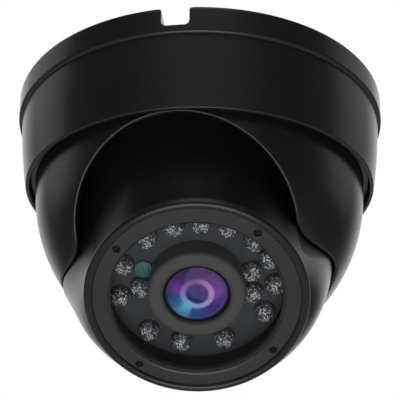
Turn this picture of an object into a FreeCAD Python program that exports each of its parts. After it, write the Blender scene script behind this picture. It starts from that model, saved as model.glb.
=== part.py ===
import FreeCAD, Part
import os
from math import asin, cos, degrees, radians, sin, sqrt

from FreeCAD import Placement, Rotation, Vector

# Ceiling eyeball camera: a ball with lens and infrared lamps, clamped in a round base by a trim ring.
# Millimetres. +Z is up, the origin is the centre of the ceiling face and the camera hangs below it (-Z).
# The front is -Y. Parts of the ball are drawn in a ball frame first (origin at the ball centre, +Z along
# the lens axis, +Y up, +X right) and then aimed with aim().

os.makedirs("parts", exist_ok=True)

# ---- driving dimensions ----------------------------------------------------------------------------
BASE_R = 46.75            # outer radius of the base at the ceiling
BASE_LOW_R = 46.1         # outer radius of the base at the seam
BASE_H = 6.0              # height of the base edge
SEAM = 0.3                # gap between base and trim ring
RING_TOP_R = 46.0         # outer radius of the trim ring at the seam
RING_BOTTOM = -24.7       # lowest point of the trim ring
RING_FOOT_R = 43.9        # outer radius of the trim ring above its rounded foot
RING_MOUTH_R = 42.85      # radius of the mouth that the ball looks out of
BALL_R = 41.2             # outer radius of the ball
BALL_Z = -24.6            # height of the ball centre
GAP = 0.3                 # clearance between bodies that move past each other

LENS_DOWN = 54.6          # rest pose: lens axis, degrees below the horizon
LENS_PAN = -0.9           # rest pose: lens axis, degrees about +Z away from -Y
LENS_ROLL = 7.5           # rest pose: degrees about the lens axis
TILT_MID = 71.5           # middle of the tilt travel, degrees below the horizon
REAR_H = 11.5             # distance of the flat ball back from the centre, straight up at TILT_MID

SHELL_T = 1.8             # wall of the ball shells
SPLIT_A = -2.0            # joint plane of hood and rear shell along the lens axis
FACE_A = 46.6             # front plane of the bezel along the lens axis
LIP_R = 23.7              # outer radius of the snout at its front lip
BEZEL_R = 22.7            # outer radius of the bezel
WINDOW_R = 19.6           # radius of the clear part of the window
GLASS_A = 45.0            # back of the window glass along the lens axis
GLASS_T = 1.0             # thickness of the window glass
CUP_R = 20.05             # radius of the cup behind the window
LED_R = 2.4               # radius of a lamp of the 5 mm size
LED_H = 7.4               # height of a lamp above its board
OUTER_LEDS_R = (17.3, 15.4)  # half width and half height of the oval of outer lamps
INNER_LEDS_R = (12.45, 12.45)  # the same for the inner lamps
SHROUD_R = 10.0           # outer radius of the rubber ring round the lens
LENS_R = 7.9              # radius of the lens barrel's front flange
M12_R = 6.0               # radius of the lens thread
BOARD_SIDE = 34.0         # side of the square circuit boards
BOARD_T = 1.6             # thickness of every circuit board
SENSOR_BOARD_A = 18.0     # back face of the sensor board
POWER_BOARD_A = 7.0       # back face of the power board
BOARD_HOLE = 14.2         # board screw position from the axis, both ways
NOTCH_ANGLE = -7.0        # cable notch, degrees about +Z away from -Y

X = Vector(1, 0, 0)
Y = Vector(0, 1, 0)
Z = Vector(0, 0, 1)
O = Vector(0, 0, 0)


# ---- helpers ---------------------------------------------------------------------------------------
def cylinder(radius, low, high, x=0.0, y=0.0):
    return Part.makeCylinder(radius, high - low, Vector(x, y, low))


def tube(outer, inner, low, high, x=0.0, y=0.0):
    return cylinder(outer, low, high, x, y).cut(cylinder(inner, low - 1, high + 1, x, y))


def box(width, depth, low, high, x=0.0, y=0.0):
    """A block centred on x, y."""
    return Part.makeBox(width, depth, high - low, Vector(x - width / 2, y - depth / 2, low))


def sphere(radius):
    return Part.makeSphere(radius, O, Z, -90, 90, 360)


def turned(points):
    """A solid turned about Z from a closed outline of (radius, height) corners."""
    outline = [Vector(r, 0, z) for r, z in points]
    wire = Part.makePolygon(outline + [outline[0]])
    return Part.Face(wire).revolve(O, Z, 360)


def turned_wire(edges):
    """A solid turned about Z from edges that close in the XZ plane."""
    return Part.Face(Part.Wire(edges)).revolve(O, Z, 360)


def line(a, b):
    return Part.makeLine(Vector(a[0], 0, a[1]), Vector(b[0], 0, b[1]))


def arc(a, middle, b):
    return Part.Arc(*[Vector(r, 0, z) for r, z in (a, middle, b)]).toShape()


def around(shape, angles):
    """Copies of a shape turned about Z."""
    copies = []
    for angle in angles:
        copy = shape.copy()
        copy.rotate(O, Z, angle)
        copies.append(copy)
    return copies


def on_circle(radius, angle):
    return radius * cos(radians(angle)), radius * sin(radians(angle))


def hexagon(radius, low, height):
    """Six-sided block; the radius is to its corners."""
    outline = Part.makePolygon([Vector(*on_circle(radius, angle), low) for angle in range(0, 361, 60)])
    return Part.Face(outline).extrude(Vector(0, 0, height))


def grid(shape, reach):
    """Four copies of a shape, at plus and minus reach in X and Y."""
    return [shape.translated(Vector(sx * reach, sy * reach, 0)) for sx in (-1, 1) for sy in (-1, 1)]


def half_space_block(height, tilt):
    """A large block whose lower face is height above the origin, leaning back by tilt degrees."""
    block = Part.makeBox(300, 300, 100, Vector(-150, -150, height))
    block.rotate(O, X, tilt)
    return block


AIM = Placement(O, Rotation(Z, LENS_PAN) * Rotation(X, 90 + LENS_DOWN) * Rotation(Z, LENS_ROLL))
AIM = Placement(Vector(0, 0, BALL_Z), AIM.Rotation)


def aim(shape):
    """Moves a shape from the ball frame to its place in the camera."""
    placed = shape.copy()
    placed.Placement = AIM.multiply(placed.Placement)
    return placed


def save(name, shape):
    shape.exportStep("parts/" + name + ".step")


def save_group(name, solids):
    save(name, Part.makeCompound(solids))


# ---- base and trim ring ------------------------------------------------------------------------------
PLATE_T = 2.5                     # thickness of the base plate
PLATE_HOLE_R = 35.5               # opening that the back of the ball turns in
SPIGOT_R = 43.3                   # outer radius of the bayonet collar
SPIGOT_INNER_R = 41.8
SPIGOT_END = -11.0
LUG_ANGLES = (30, 150, 270)
BASE_LUG = (-9.6, -8.4)           # height band of the base's bayonet lugs
RING_LUG = (-8.1, -6.9)           # height band of the ring's bayonet lugs
SCREW_PCD_R = 39.0
SCREW_HOLE_R = 2.2
SCREW_ANGLES = (90, 210, 330)
NOTCH_W = 6.4
NOTCH_H = 4.8
GASKET_R = 44.6
TWIST = 22                        # degrees that the trim ring turns to come free
LOCK_Z = -9.0                     # height of the lock screw, on the side away from the lens


def sector(outer, inner, low, high, middle, width):
    """A piece of a tube, width degrees wide about the angle middle."""
    ring = Part.makeCylinder(outer, high - low, Vector(0, 0, low), Z, width)
    ring = ring.cut(cylinder(inner, low - 1, high + 1))
    ring.rotate(O, Z, middle - width / 2)
    return ring


def base_plate():
    corner = 0.8
    body = turned([(PLATE_HOLE_R, 0), (BASE_R - corner, 0), (BASE_R, -corner), (BASE_LOW_R, -BASE_H),
                   (BASE_R - 2.0, -BASE_H), (BASE_R - 2.0, -PLATE_T), (SPIGOT_R, -PLATE_T),
                   (SPIGOT_R, SPIGOT_END), (SPIGOT_INNER_R, SPIGOT_END), (SPIGOT_INNER_R, -PLATE_T),
                   (PLATE_HOLE_R, -PLATE_T)])
    for angle in LUG_ANGLES:
        body = body.fuse(sector(SPIGOT_R + 0.9, SPIGOT_R - 0.5, *BASE_LUG, angle, 20))
    for angle in SCREW_ANGLES:
        x, y = on_circle(SCREW_PCD_R, angle)
        body = body.cut(cylinder(SCREW_HOLE_R, -PLATE_T - 1, 1, x, y))
        sink = Part.makeCone(SCREW_HOLE_R + 1.2, SCREW_HOLE_R, 1.2, Vector(x, y, -PLATE_T))
        body = body.cut(sink)
    body = body.cut(tube(GASKET_R + 0.7, GASKET_R - 0.7, -0.9, 1))
    body = body.cut(cable_notch())
    body = body.cut(lock_screw_bore())
    return body.removeSplitter()


def cable_notch():
    """The way out for the cable: a slot in the ceiling face with rounded inner corners."""
    slot = Part.makeBox(NOTCH_W, 14.0, NOTCH_H + 1, Vector(-NOTCH_W / 2, -BASE_R - 2, -NOTCH_H))
    inner = [e for e in slot.Edges if abs(e.BoundBox.ZMax + NOTCH_H) < 0.01 and e.BoundBox.YLength > 10]
    slot = slot.makeFillet(1.2, inner)
    slot.rotate(O, Z, NOTCH_ANGLE)
    return slot


def base_gasket():
    """Foam ring let into the ceiling face, open where the cable notch crosses it."""
    ring = tube(GASKET_R + 0.6, GASKET_R - 0.6, -0.85, 0)
    slot = box(NOTCH_W + 0.6, 14.0, -2, 2, 0, -BASE_R)
    slot.rotate(O, Z, NOTCH_ANGLE)
    return ring.cut(slot)


def lock_screw_bore():
    return Part.makeCylinder(0.85, 8, Vector(0, SPIGOT_R - 2.5, LOCK_Z), Y)


def lock_screw():
    """Screw in the bayonet collar that stands in the trim ring's slot and stops its twist."""
    length = 4.0
    start = SPIGOT_R - 1.6
    screw = Part.makeCylinder(0.8, length - 0.6, Vector(0, start, LOCK_Z), Y)
    screw = screw.fuse(Part.makeCylinder(1.2, 0.9, Vector(0, start + length - 0.9, LOCK_Z), Y))
    socket = Part.makeBox(0.5, 0.6, 1.6, Vector(-0.25, start + length - 0.5, LOCK_Z - 0.8))
    return screw.cut(socket)


def seat_pads():
    """Three soft pads under the base plate that the ball rubs on."""
    clear = BALL_R + GAP
    low = -7.5
    inner = sqrt(clear ** 2 - (low - BALL_Z) ** 2)
    ring = turned([(PLATE_HOLE_R + 0.8, -PLATE_T), (SPIGOT_INNER_R - 0.3, -PLATE_T),
                   (SPIGOT_INNER_R - 0.3, low), (inner, low)])
    ring = ring.cut(sphere(clear).translated(Vector(0, 0, BALL_Z)))
    pads = []
    for angle in (30, 150, 262):
        pad = ring.common(sector(SPIGOT_R, 30, low - 1, 0, angle, 60))
        pads.append(pad.cut(cable_notch()))
    return pads


def trim_ring():
    """Tapered ring with a slightly full side and a thin rounded foot."""
    top = -BASE_H - SEAM
    foot = 0.5
    wall = 1.4
    shoulder = RING_BOTTOM + foot
    middle = ((RING_TOP_R + RING_FOOT_R) / 2 + 0.3, (top + shoulder) / 2)
    side = arc((RING_TOP_R, top - 0.4), middle, (RING_FOOT_R, shoulder))
    bend = foot * (1 - cos(radians(45)))
    rounding = arc((RING_FOOT_R, shoulder), (RING_FOOT_R - bend, RING_BOTTOM + bend),
                   (RING_FOOT_R - foot, RING_BOTTOM))
    inner_top = RING_TOP_R - wall
    edges = [line((RING_TOP_R - 0.4, top), (RING_TOP_R, top - 0.4)), side, rounding,
             line((RING_FOOT_R - foot, RING_BOTTOM), (RING_MOUTH_R, RING_BOTTOM)),
             line((RING_MOUTH_R, RING_BOTTOM), (RING_MOUTH_R, -18.0)),
             line((RING_MOUTH_R, -18.0), (inner_top, -10.2)),
             line((inner_top, -10.2), (inner_top, top)),
             line((inner_top, top), (RING_TOP_R - 0.4, top))]
    ring = turned_wire(edges)
    for angle in LUG_ANGLES:
        ring = ring.fuse(sector(inner_top + 0.4, SPIGOT_R + GAP, *RING_LUG, angle, 18))
    slot = sector(60, SPIGOT_R + 0.6, LOCK_Z - 1.5, LOCK_Z + 1.5, 90 - TWIST / 2, TWIST + 4)
    return ring.cut(slot).removeSplitter()


def friction_ring():
    """Plastic ring that hugs the ball inside the trim ring and turns with it."""
    band = cylinder(RING_MOUTH_R - GAP, -22.8, -18.4)
    return band.cut(sphere(BALL_R + GAP).translated(Vector(0, 0, BALL_Z)))


# ---- ball shells (ball frame) --------------------------------------------------------------------------
FLANGE_R = BALL_R - SHELL_T - GAP
FLANGE_A = 1.0            # back of the front shell's flange
ARCH_R = 25.0             # half width of the arch
ARCH_TOP = 34.0           # height of the arch's top above the lens axis
SKIRT_R = 34.75           # radius of the opening round the chin
HOOD_X = -1.6             # the opening and the root of the chin stand this far beside the lens axis
GROOVE = 0.45             # groove between the snout and the edge of the opening
ROOT_R = 34.5             # radius of the chin where it leaves the hood
ROOT_A = 22.0             # place of the chin's root along the lens axis
CHIN_TAPER = 0.30         # fall of the chin's radius along the lens axis
CHIN_ROLL = 3.1           # how far the chin rolls in towards the lip on top of its taper
HOLLOW_A = 14.0           # deepest place of the hollow under the arch
CHEEK_STEP = 0.5          # the hollow side starts this far inside the lip
CHEEK_SPREAD = 7.0        # and is this much wider at its root
CHEEK_CURVE = 2.6         # power of that widening
CHEEK_END = 62.0          # degrees from the top where the hollow starts to fade
CHIN_START = 114.0        # degrees from the top where the chin is full
FLARE_Y = -10.9           # where the arch's flare meets the chin circle, beside the lens axis
LIP_WALL = 0.6            # thickness of the lip round the face
ROOF_T = 2.0              # thickness of the flat back
REAR_LEAN = 90 - TILT_MID


def bell_prism(inset=0.0):
    """Block with the outline of the hood's opening: an arch that flares out to the chin circle."""
    centre = ARCH_TOP - ARCH_R
    arch = ARCH_R - inset
    skirt = SKIRT_R - inset
    end = Vector(sqrt(skirt ** 2 - FLARE_Y ** 2), FLARE_Y, 0)
    flare = Part.BezierCurve()
    flare.setPoles([Vector(arch, centre, 0), Vector(arch + 0.2, 5.5, 0), Vector(arch + 1.2, 3.0, 0),
                    Vector(end.x - 4.2, 1.0, 0), Vector(end.x + 0.9, -5.5, 0), end])
    right = flare.toShape()
    left = right.mirror(O, X)
    top = Part.Arc(Vector(arch, centre, 0), Vector(0, centre + arch, 0), Vector(-arch, centre, 0))
    chin = Part.Arc(end, Vector(0, -skirt, 0), Vector(-end.x, end.y, 0))
    outline = Part.Wire(Part.__sortEdges__([top.toShape(), left, chin.toShape(), right]))
    return Part.Face(outline).extrude(Vector(0, 0, 60)).translated(Vector(HOOD_X, 0, 0))


def flat_back(depth=0.0):
    """Everything behind the flat back of the ball, or behind a plane that much further in."""
    return half_space_block(REAR_H - depth, 180 + REAR_LEAN)


def hood_shell():
    shell = sphere(BALL_R).cut(sphere(BALL_R - SHELL_T))
    shell = shell.common(cylinder(60, SPLIT_A, 60))
    return shell.cut(bell_prism()).cut(flat_back())


CASE_SCREWS = ((-26.0, -17.0), (26.0, -17.0), (0.0, -31.0))
CASE_SEAT = -11.2         # where the heads of the case screws rest


def case_cylinders(radius, low, high):
    return [cylinder(radius, low, high, x, y) for x, y in CASE_SCREWS]


def rear_shell():
    """Back of the ball: a spherical band closed by a flat wall with the gland hole in it."""
    outer = sphere(BALL_R).cut(flat_back())
    cavity = sphere(BALL_R - SHELL_T).cut(flat_back(ROOF_T))
    for post in case_cylinders(3.9, -60, 60):
        cavity = cavity.cut(post)
    shell = outer.cut(cavity).common(cylinder(60, -60, SPLIT_A - 0.1))
    roof = sphere(FLANGE_R).common(flat_back(ROOF_T)).cut(flat_back())
    shell = shell.fuse(roof)
    for hole in case_cylinders(2.7, -60, CASE_SEAT) + case_cylinders(1.3, -60, 60):
        shell = shell.cut(hole)
    return shell.cut(cylinder(GLAND_R + 0.08, -30, 0)).removeSplitter()


def case_screws():
    """Screws from the back that pull rear and front shell together."""
    shanks = case_cylinders(1.15, CASE_SEAT - 0.1, 9.0)
    heads = case_cylinders(2.4, CASE_SEAT - 1.8, CASE_SEAT)
    return [shank.fuse(head) for shank, head in zip(shanks, heads)]


def chin_radius(a):
    """Radius of the full snout at a place along the lens axis."""
    run = max(a - ROOT_A, 0)
    return ROOT_R - CHIN_TAPER * run - CHIN_ROLL * (run / (FACE_A - ROOT_A)) ** 6


def snout_centre(a):
    """The snout starts in the middle of the hood's opening and ends on the lens axis."""
    left = min((FACE_A - a) / (FACE_A - ROOT_A), 1)
    return HOOD_X * left ** 2


def cheek_radius(a):
    """Radius of the hollow snout inside the arch."""
    back = (FACE_A - a) / (FACE_A - HOLLOW_A)
    return LIP_R - CHEEK_STEP + CHEEK_SPREAD * max(back, 0) ** CHEEK_CURVE


def chin_share(angle):
    """0 inside the arch, 1 on the chin, with a smooth change between. 0 degrees is the top."""
    step = (abs(angle) - CHEEK_END) / (CHIN_START - CHEEK_END)
    step = min(max(step, 0), 1)
    return step * step * (3 - 2 * step)


def snout_section(a):
    points = []
    for angle in range(-180, 180, 10):
        share = chin_share(angle)
        radius = share * chin_radius(a) + (1 - share) * cheek_radius(a)
        points.append(Vector(snout_centre(a) + radius * sin(radians(angle)), radius * cos(radians(angle)), a))
    curve = Part.BSplineCurve()
    curve.interpolate(points, PeriodicFlag=True)
    return Part.Wire(curve.toShape())


def snout_solid():
    """The snout's outside, drawn through sections across the lens axis."""
    count = 8
    start = HOLLOW_A - 1.3
    places = [start + (FACE_A - start) * i / count for i in range(count + 1)]
    return Part.makeLoft([snout_section(a) for a in places], True, False).common(bell_prism(GROOVE))


def lip_ring():
    """Rounded lip round the face."""
    top = FACE_A + 0.6
    low = FACE_A - 3.5
    inner = LIP_R - LIP_WALL
    edge = LIP_WALL / 2
    edges = [line((inner, low), (LIP_R - edge, low)),
             line((LIP_R - edge, low), (LIP_R, top - edge)),
             arc((LIP_R, top - edge), (LIP_R - edge, top), (inner, top - edge)),
             line((inner, top - edge), (inner, low))]
    return turned_wire(edges)


def shell_cavity():
    """Room for the boards, with a ledge that the heat plate rests on."""
    return turned([(0, FLANGE_A - 1), (36.0, FLANGE_A - 1), (35.5, 6.0), (27.4, 12.8), (27.4, PLATE_SEAT),
                   (26.2, PLATE_SEAT), (23.8, 24.0), (22.2, CUP_FLOOR - 2.0), (0, CUP_FLOOR - 2.0)])


def front_shell():
    """Snout: chin, cheeks, the lip round the face and the cup that holds window and lamps."""
    flange = sphere(FLANGE_R).common(cylinder(60, FLANGE_A, HOLLOW_A))
    body = flange.cut(flat_back(ROOF_T + GAP)).fuse(snout_solid()).fuse(lip_ring())
    body = body.cut(shell_cavity())
    for post in case_cylinders(3.8, FLANGE_A, 16.5):
        body = body.fuse(post)
    body = body.cut(cylinder(LIP_R - LIP_WALL, FACE_A - 2.0, 80))
    body = body.cut(cylinder(CUP_R, CUP_FLOOR, 80))
    body = body.cut(cylinder(10.4, 0, 60))
    for bore in case_cylinders(1.16, -5, 12.0) + bezel_screw_bores():
        body = body.cut(bore)
    return body.removeSplitter()


def shell_seal():
    """Square rubber gasket between front shell and rear shell."""
    ring = tube(BALL_R - SHELL_T - 1.15, BALL_R - SHELL_T - 2.65, -0.75, 0.75)
    return ring.cut(flat_back(ROOF_T + GAP))


# ---- face (ball frame) ---------------------------------------------------------------------------------
LED_BOARD_A = 35.8        # front face of the lamp board
MASK_A = 39.9             # front face of the lamp mask
CUP_FLOOR = LED_BOARD_A - BOARD_T - 0.1
PLATE_SEAT = SENSOR_BOARD_A - 2.5
BEZEL_SCREW_R = 21.1
BEZEL_SCREW_ANGLES = (45, 135, 225, 315)
PHOTOCELL_ANGLE = 155
PHOTOCELL_R = 12.3        # distance of the photocell from the lens axis
# The lamps stand closer together in the upper half of the face.
OUTER_LED_ANGLES = (-136, -109, -76, -36, -8, 17, 37, 60, 80, 100, 122, 153, 183)
INNER_LED_ANGLES = (-17, 8, 176)


def bezel_screw_bores():
    return [cylinder(0.62, FACE_A - 8, 80, *on_circle(BEZEL_SCREW_R, a)) for a in BEZEL_SCREW_ANGLES]


def front_bezel():
    """Flat ring with four countersunk screws and a rebate for the glass."""
    ring = turned([(WINDOW_R + 0.3, FACE_A), (BEZEL_R - 0.4, FACE_A), (BEZEL_R, FACE_A - 0.4),
                   (BEZEL_R, FACE_A - 2.0), (CUP_R + 0.1, FACE_A - 2.0), (CUP_R + 0.1, GLASS_A + GLASS_T),
                   (WINDOW_R, GLASS_A + GLASS_T), (WINDOW_R, FACE_A - 0.3)])
    for angle in BEZEL_SCREW_ANGLES:
        x, y = on_circle(BEZEL_SCREW_R, angle)
        ring = ring.cut(cylinder(0.7, FACE_A - 3, 80, x, y)).cut(cylinder(1.02, FACE_A - 0.9, 80, x, y))
    return ring


def bezel_screws():
    screws = []
    for angle in BEZEL_SCREW_ANGLES:
        x, y = on_circle(BEZEL_SCREW_R, angle)
        screw = cylinder(0.6, FACE_A - 7, FACE_A - 0.8, x, y)
        screw = screw.fuse(cylinder(0.95, FACE_A - 0.85, FACE_A - 0.25, x, y))
        for turn in (0, 90):
            slot = Part.makeBox(1.3, 0.3, 0.5, Vector(-0.65, -0.15, FACE_A - 0.55))
            slot.rotate(O, Z, turn)
            screw = screw.cut(slot.translated(Vector(x, y, 0)))
        screws.append(screw)
    return screws


def window_seal():
    return tube(CUP_R - 0.05, CUP_R - 0.9, GLASS_A - 0.6, GLASS_A)


def front_window():
    return cylinder(CUP_R, GLASS_A, GLASS_A + GLASS_T - 0.02)


def led_place(half_size, angles):
    """Places on an oval of the given half width and half height."""
    return [(on_circle(half_size[0], a)[0], on_circle(half_size[1], a)[1]) for a in angles]


def led(x, y):
    """A 5 mm lamp: foot flange, round body and dome."""
    body = cylinder(LED_R, LED_BOARD_A, LED_BOARD_A + LED_H - LED_R, x, y)
    dome = Part.makeSphere(LED_R, Vector(x, y, LED_BOARD_A + LED_H - LED_R))
    return body.fuse(dome).removeSplitter()


def ir_leds(half_size, angles):
    return [led(x, y) for x, y in led_place(half_size, angles)]


def led_board():
    return tube(CUP_R - 0.2, SHROUD_R + 0.3, LED_BOARD_A - BOARD_T, LED_BOARD_A - 0.02)


def led_mask():
    """Moulded plate with a hole for each lamp and the photocell."""
    mask = tube(CUP_R - 0.15, SHROUD_R + 0.05, MASK_A - 1.2, MASK_A)
    places = led_place(OUTER_LEDS_R, OUTER_LED_ANGLES) + led_place(INNER_LEDS_R, INNER_LED_ANGLES)
    for x, y in places:
        mask = mask.cut(cylinder(LED_R + 0.03, 0, 60, x, y))
    x, y = on_circle(PHOTOCELL_R, PHOTOCELL_ANGLE)
    return mask.cut(cylinder(2.15, 0, 60, x, y))


def photocell():
    x, y = on_circle(PHOTOCELL_R, PHOTOCELL_ANGLE)
    cell = cylinder(2.1, MASK_A - 0.8, MASK_A + 1.0, x, y)
    for side in (-1, 1):
        cell = cell.fuse(cylinder(0.25, LED_BOARD_A, MASK_A - 0.8, x + side * 0.9, y))
    return cell


def lens_shroud():
    """Rubber ring that keeps lamp light out of the lens."""
    tip = GLASS_A - 0.1
    foot = CUP_FLOOR - 1.0
    return turned([(8.1, tip), (SHROUD_R - 0.25, tip), (SHROUD_R, tip - 0.4), (SHROUD_R, foot),
                   (9.1, foot), (9.1, tip - 3.5), (8.1, tip - 3.5)])


# ---- lens and filter unit (ball frame) ---------------------------------------------------------------
LENS_TIP = 44.2           # front of the lens barrel
LENS_SEAT = 30.0          # front of the lens holder's tower
HOLDER_LOW = SENSOR_BOARD_A + BOARD_T
FILTER_A = HOLDER_LOW + 3.6
FILTER_STEP = 6.2         # travel of the filter slider
ROTOR_ARM = 5.4           # crank radius of the filter motor
ROTOR_X = 13.6
ROTOR_SWING = 2 * degrees(asin(FILTER_STEP / 2 / ROTOR_ARM))


def lens_barrel():
    """Threaded barrel with a wide front flange and stepped seats for the glass elements."""
    steps = [(LENS_R, 0), (LENS_R, 3.6), (LENS_R - 1.0, 4.4), (LENS_R - 1.0, 7.1), (M12_R, 7.9),
             (M12_R, 17.7), (3.6, 17.7), (3.6, 16.1), (4.4, 16.1), (4.4, 11.1), (5.2, 11.1), (5.2, 4.7),
             (7.15, 4.7), (7.15, 0.6), (7.5, 0)]
    return turned([(r, LENS_TIP - depth) for r, depth in steps])


def lens_element(radius, back, front, crown, hollow):
    """A round glass element: front bulges by crown, back bulges by hollow (negative: hollow)."""
    rim_front = front - crown
    rim_back = back + hollow
    front_cap = arc((-radius, rim_front), (0, front), (radius, rim_front))
    back_cap = arc((radius, rim_back), (0, back), (-radius, rim_back))
    sides = [line((radius, rim_front), (radius, rim_back)), line((-radius, rim_back), (-radius, rim_front))]
    profile = Part.Face(Part.Wire([front_cap, sides[0], back_cap, sides[1]]))
    half = profile.common(Part.makeBox(radius * 3, 2, 80, Vector(0, -1, 0)))
    return half.revolve(O, Z, 360)


def front_lens():
    return lens_element(7.1, LENS_TIP - 4.0, LENS_TIP - 0.75, 1.6, 0.3)


def middle_lens():
    return lens_element(5.15, LENS_TIP - 10.2, LENS_TIP - 6.6, 0.9, 0.9)


def rear_lens():
    return lens_element(4.35, LENS_TIP - 15.4, LENS_TIP - 12.2, 0.7, 0.5)


def lens_retainer():
    return turned([(7.1, LENS_TIP - 0.7), (7.45, LENS_TIP), (6.9, LENS_TIP), (6.6, LENS_TIP - 0.6)])


def lens_lock_nut():
    nut = tube(8.4, M12_R + 0.05, LENS_SEAT + 0.1, LENS_SEAT + 2.3)
    for cut in around(box(1.6, 2.0, LENS_SEAT, LENS_SEAT + 3, 8.4, 0), range(0, 360, 45)):
        nut = nut.cut(cut)
    return nut


def lens_holder():
    """Threaded tower on the filter housing."""
    tower = cylinder(8.2, FILTER_A + 2.4, LENS_SEAT)
    flange = box(17.0, 17.0, FILTER_A + 2.4, FILTER_A + 4.0)
    return tower.fuse(flange).cut(cylinder(M12_R + 0.05, 0, 60)).removeSplitter()


def ir_cut_housing():
    """Box that guides the filter slider over the image sensor."""
    low = HOLDER_LOW
    high = FILTER_A + 2.3
    case = box(34.0, 17.0, low, high, 3.5, 0)
    case = case.cut(box(31.6, 14.6, FILTER_A - 0.6, FILTER_A + 1.4, 3.5, 0))
    case = case.cut(box(12.0, 12.0, low - 1, FILTER_A, 0, 0))
    case = case.cut(cylinder(5.6, FILTER_A, high + 1))
    case = case.cut(box(10.6, 14.8, low - 0.01, FILTER_A, ROTOR_X + 0.9, 0))
    return case


SLIDER_X = -FILTER_STEP / 2        # centre of the slider at rest, the day filter over the sensor
PIN_SLOT_X = ROTOR_X - FILTER_STEP / 2


def ir_cut_slider():
    """Filter frame with an arm whose slot takes the rotor's crank pin."""
    frame = box(14.0, 9.2, FILTER_A, FILTER_A + 0.9, SLIDER_X, 0)
    for side in (-1, 1):
        frame = frame.cut(box(5.4, 6.4, 0, 60, SLIDER_X + side * FILTER_STEP / 2, 0))
    arm = box(9.0, 1.8, FILTER_A, FILTER_A + 0.9, SLIDER_X + 11.1, 3.7)
    pad = box(3.6, 4.2, FILTER_A, FILTER_A + 0.9, PIN_SLOT_X, 4.9)
    slot = box(1.4, 2.8, FILTER_A - 1, FILTER_A + 2, PIN_SLOT_X, 5.0)
    return frame.fuse(arm).fuse(pad).cut(slot).removeSplitter()


def filter_pane(side):
    """One filter glass in the slider: side -1 is the night pane, +1 the day pane."""
    return box(5.3, 6.3, FILTER_A + 0.1, FILTER_A + 0.8, SLIDER_X + side * FILTER_STEP / 2, 0)


def ir_cut_rotor():
    """Magnet rotor on a shaft with a crank pin in the slider's slot."""
    low = HOLDER_LOW + 0.3
    magnet = cylinder(2.6, low, FILTER_A - 1.2, ROTOR_X, 0)
    arm = box(1.6, ROTOR_ARM + 0.8, FILTER_A - 1.2, FILTER_A - 0.4, ROTOR_X, ROTOR_ARM / 2)
    pin = cylinder(0.6, FILTER_A - 1.2, FILTER_A + 1.1, ROTOR_X, ROTOR_ARM)
    rotor = magnet.fuse(arm).fuse(pin)
    rotor.rotate(Vector(ROTOR_X, 0, 0), Z, ROTOR_SWING / 2)
    return rotor.removeSplitter()


def ir_cut_coil():
    """Coil beside the rotor."""
    low = HOLDER_LOW + 0.2
    return tube(1.9, 0.7, low, FILTER_A - 1.4, ROTOR_X, -4.6)


# ---- circuit boards (ball frame) ---------------------------------------------------------------------
def board(low):
    plate = box(BOARD_SIDE, BOARD_SIDE, low, low + BOARD_T)
    corners = [e for e in plate.Edges if e.BoundBox.ZLength > BOARD_T - 0.1]
    plate = plate.makeFillet(2.0, corners)
    for hole in grid(cylinder(1.6, low - 1, low + 5), BOARD_HOLE):
        plate = plate.cut(hole)
    return plate


def image_sensor():
    return box(7.6, 6.6, HOLDER_LOW + 0.01, HOLDER_LOW + 1.3)


def processor():
    return box(12.0, 12.0, SENSOR_BOARD_A - 1.3, SENSOR_BOARD_A - 0.01, 3.0, -2.0)


def heat_pad():
    return box(11.0, 11.0, SENSOR_BOARD_A - 2.6, SENSOR_BOARD_A - 1.31, 3.0, -2.0)


def heat_plate():
    """Aluminium plate that takes heat from the processor to the front shell."""
    low = SENSOR_BOARD_A - 3.8
    plate = cylinder(27.1, low, low + 1.2)
    for hole in grid(cylinder(3.0, low - 1, low + 3), BOARD_HOLE):
        plate = plate.cut(hole)
    return plate.cut(box(6.0, 12.0, low - 1, low + 3, -20.0, 0))


def board_spacers():
    """Hexagon posts between the two boards."""
    low = POWER_BOARD_A + BOARD_T
    post = hexagon(2.7, low, SENSOR_BOARD_A - low).cut(cylinder(1.25, 0, 60))
    return grid(post, BOARD_HOLE)


def board_screws():
    """Screws through both boards and the posts between them."""
    top = SENSOR_BOARD_A + BOARD_T
    shank = cylinder(1.2, POWER_BOARD_A - 2.0, top + 0.2)
    head = cylinder(2.4, top, top + 1.6).cut(box(3.6, 0.6, top + 0.9, top + 3))
    return grid(shank.fuse(head), BOARD_HOLE)


def board_nuts():
    nut = hexagon(2.6, POWER_BOARD_A - 1.9, 1.9).cut(cylinder(1.25, -30, 30))
    return grid(nut, BOARD_HOLE)


def board_connectors():
    """Plug housings: two on the power board, one for the lamps on the sensor board."""
    high = POWER_BOARD_A - 0.01
    return [box(10.0, 4.2, high - 4.2, high, -6.0, -14.0), box(7.0, 4.2, high - 4.2, high, 7.0, -14.0),
            box(6.0, 3.6, HOLDER_LOW + 0.01, HOLDER_LOW + 4.0, 0, -13.5)]


def transformer():
    low = POWER_BOARD_A + BOARD_T + 0.01
    core = box(9.0, 8.0, low, low + 4.6, -7.0, 6.0)
    return core


def capacitors():
    low = POWER_BOARD_A + BOARD_T + 0.01
    return [cylinder(2.5, low, low + 4.8, x, -8.0) for x in (-4.0, 2.0, 8.0)]


# ---- gland (ball frame, turns with tilt only) ----------------------------------------------------------
GLAND_R = 5.0
GLAND_WALL = REAR_H / cos(radians(REAR_LEAN))     # where the lens axis meets the flat back
NUT_A = -7.0              # back face of the gland nut, clear of the leaning wall as the ball rolls


def cable_gland():
    """Rubber gland on the lens axis with a bore for the cable."""
    wall = -GLAND_WALL
    sleeve = cylinder(GLAND_R, wall - 2.6, NUT_A + 2.6)
    collar = turned([(0, wall - 2.6), (GLAND_R + 1.6, wall - 2.6), (GLAND_R + 1.2, wall - 4.0),
                     (3.8, wall - 7.5), (0, wall - 7.5)])
    return sleeve.fuse(collar).cut(cylinder(2.6, -60, 0)).removeSplitter()


def gland_nut():
    return hexagon(8.0, NUT_A, 2.4).cut(cylinder(GLAND_R + 0.02, -60, 0))


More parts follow.
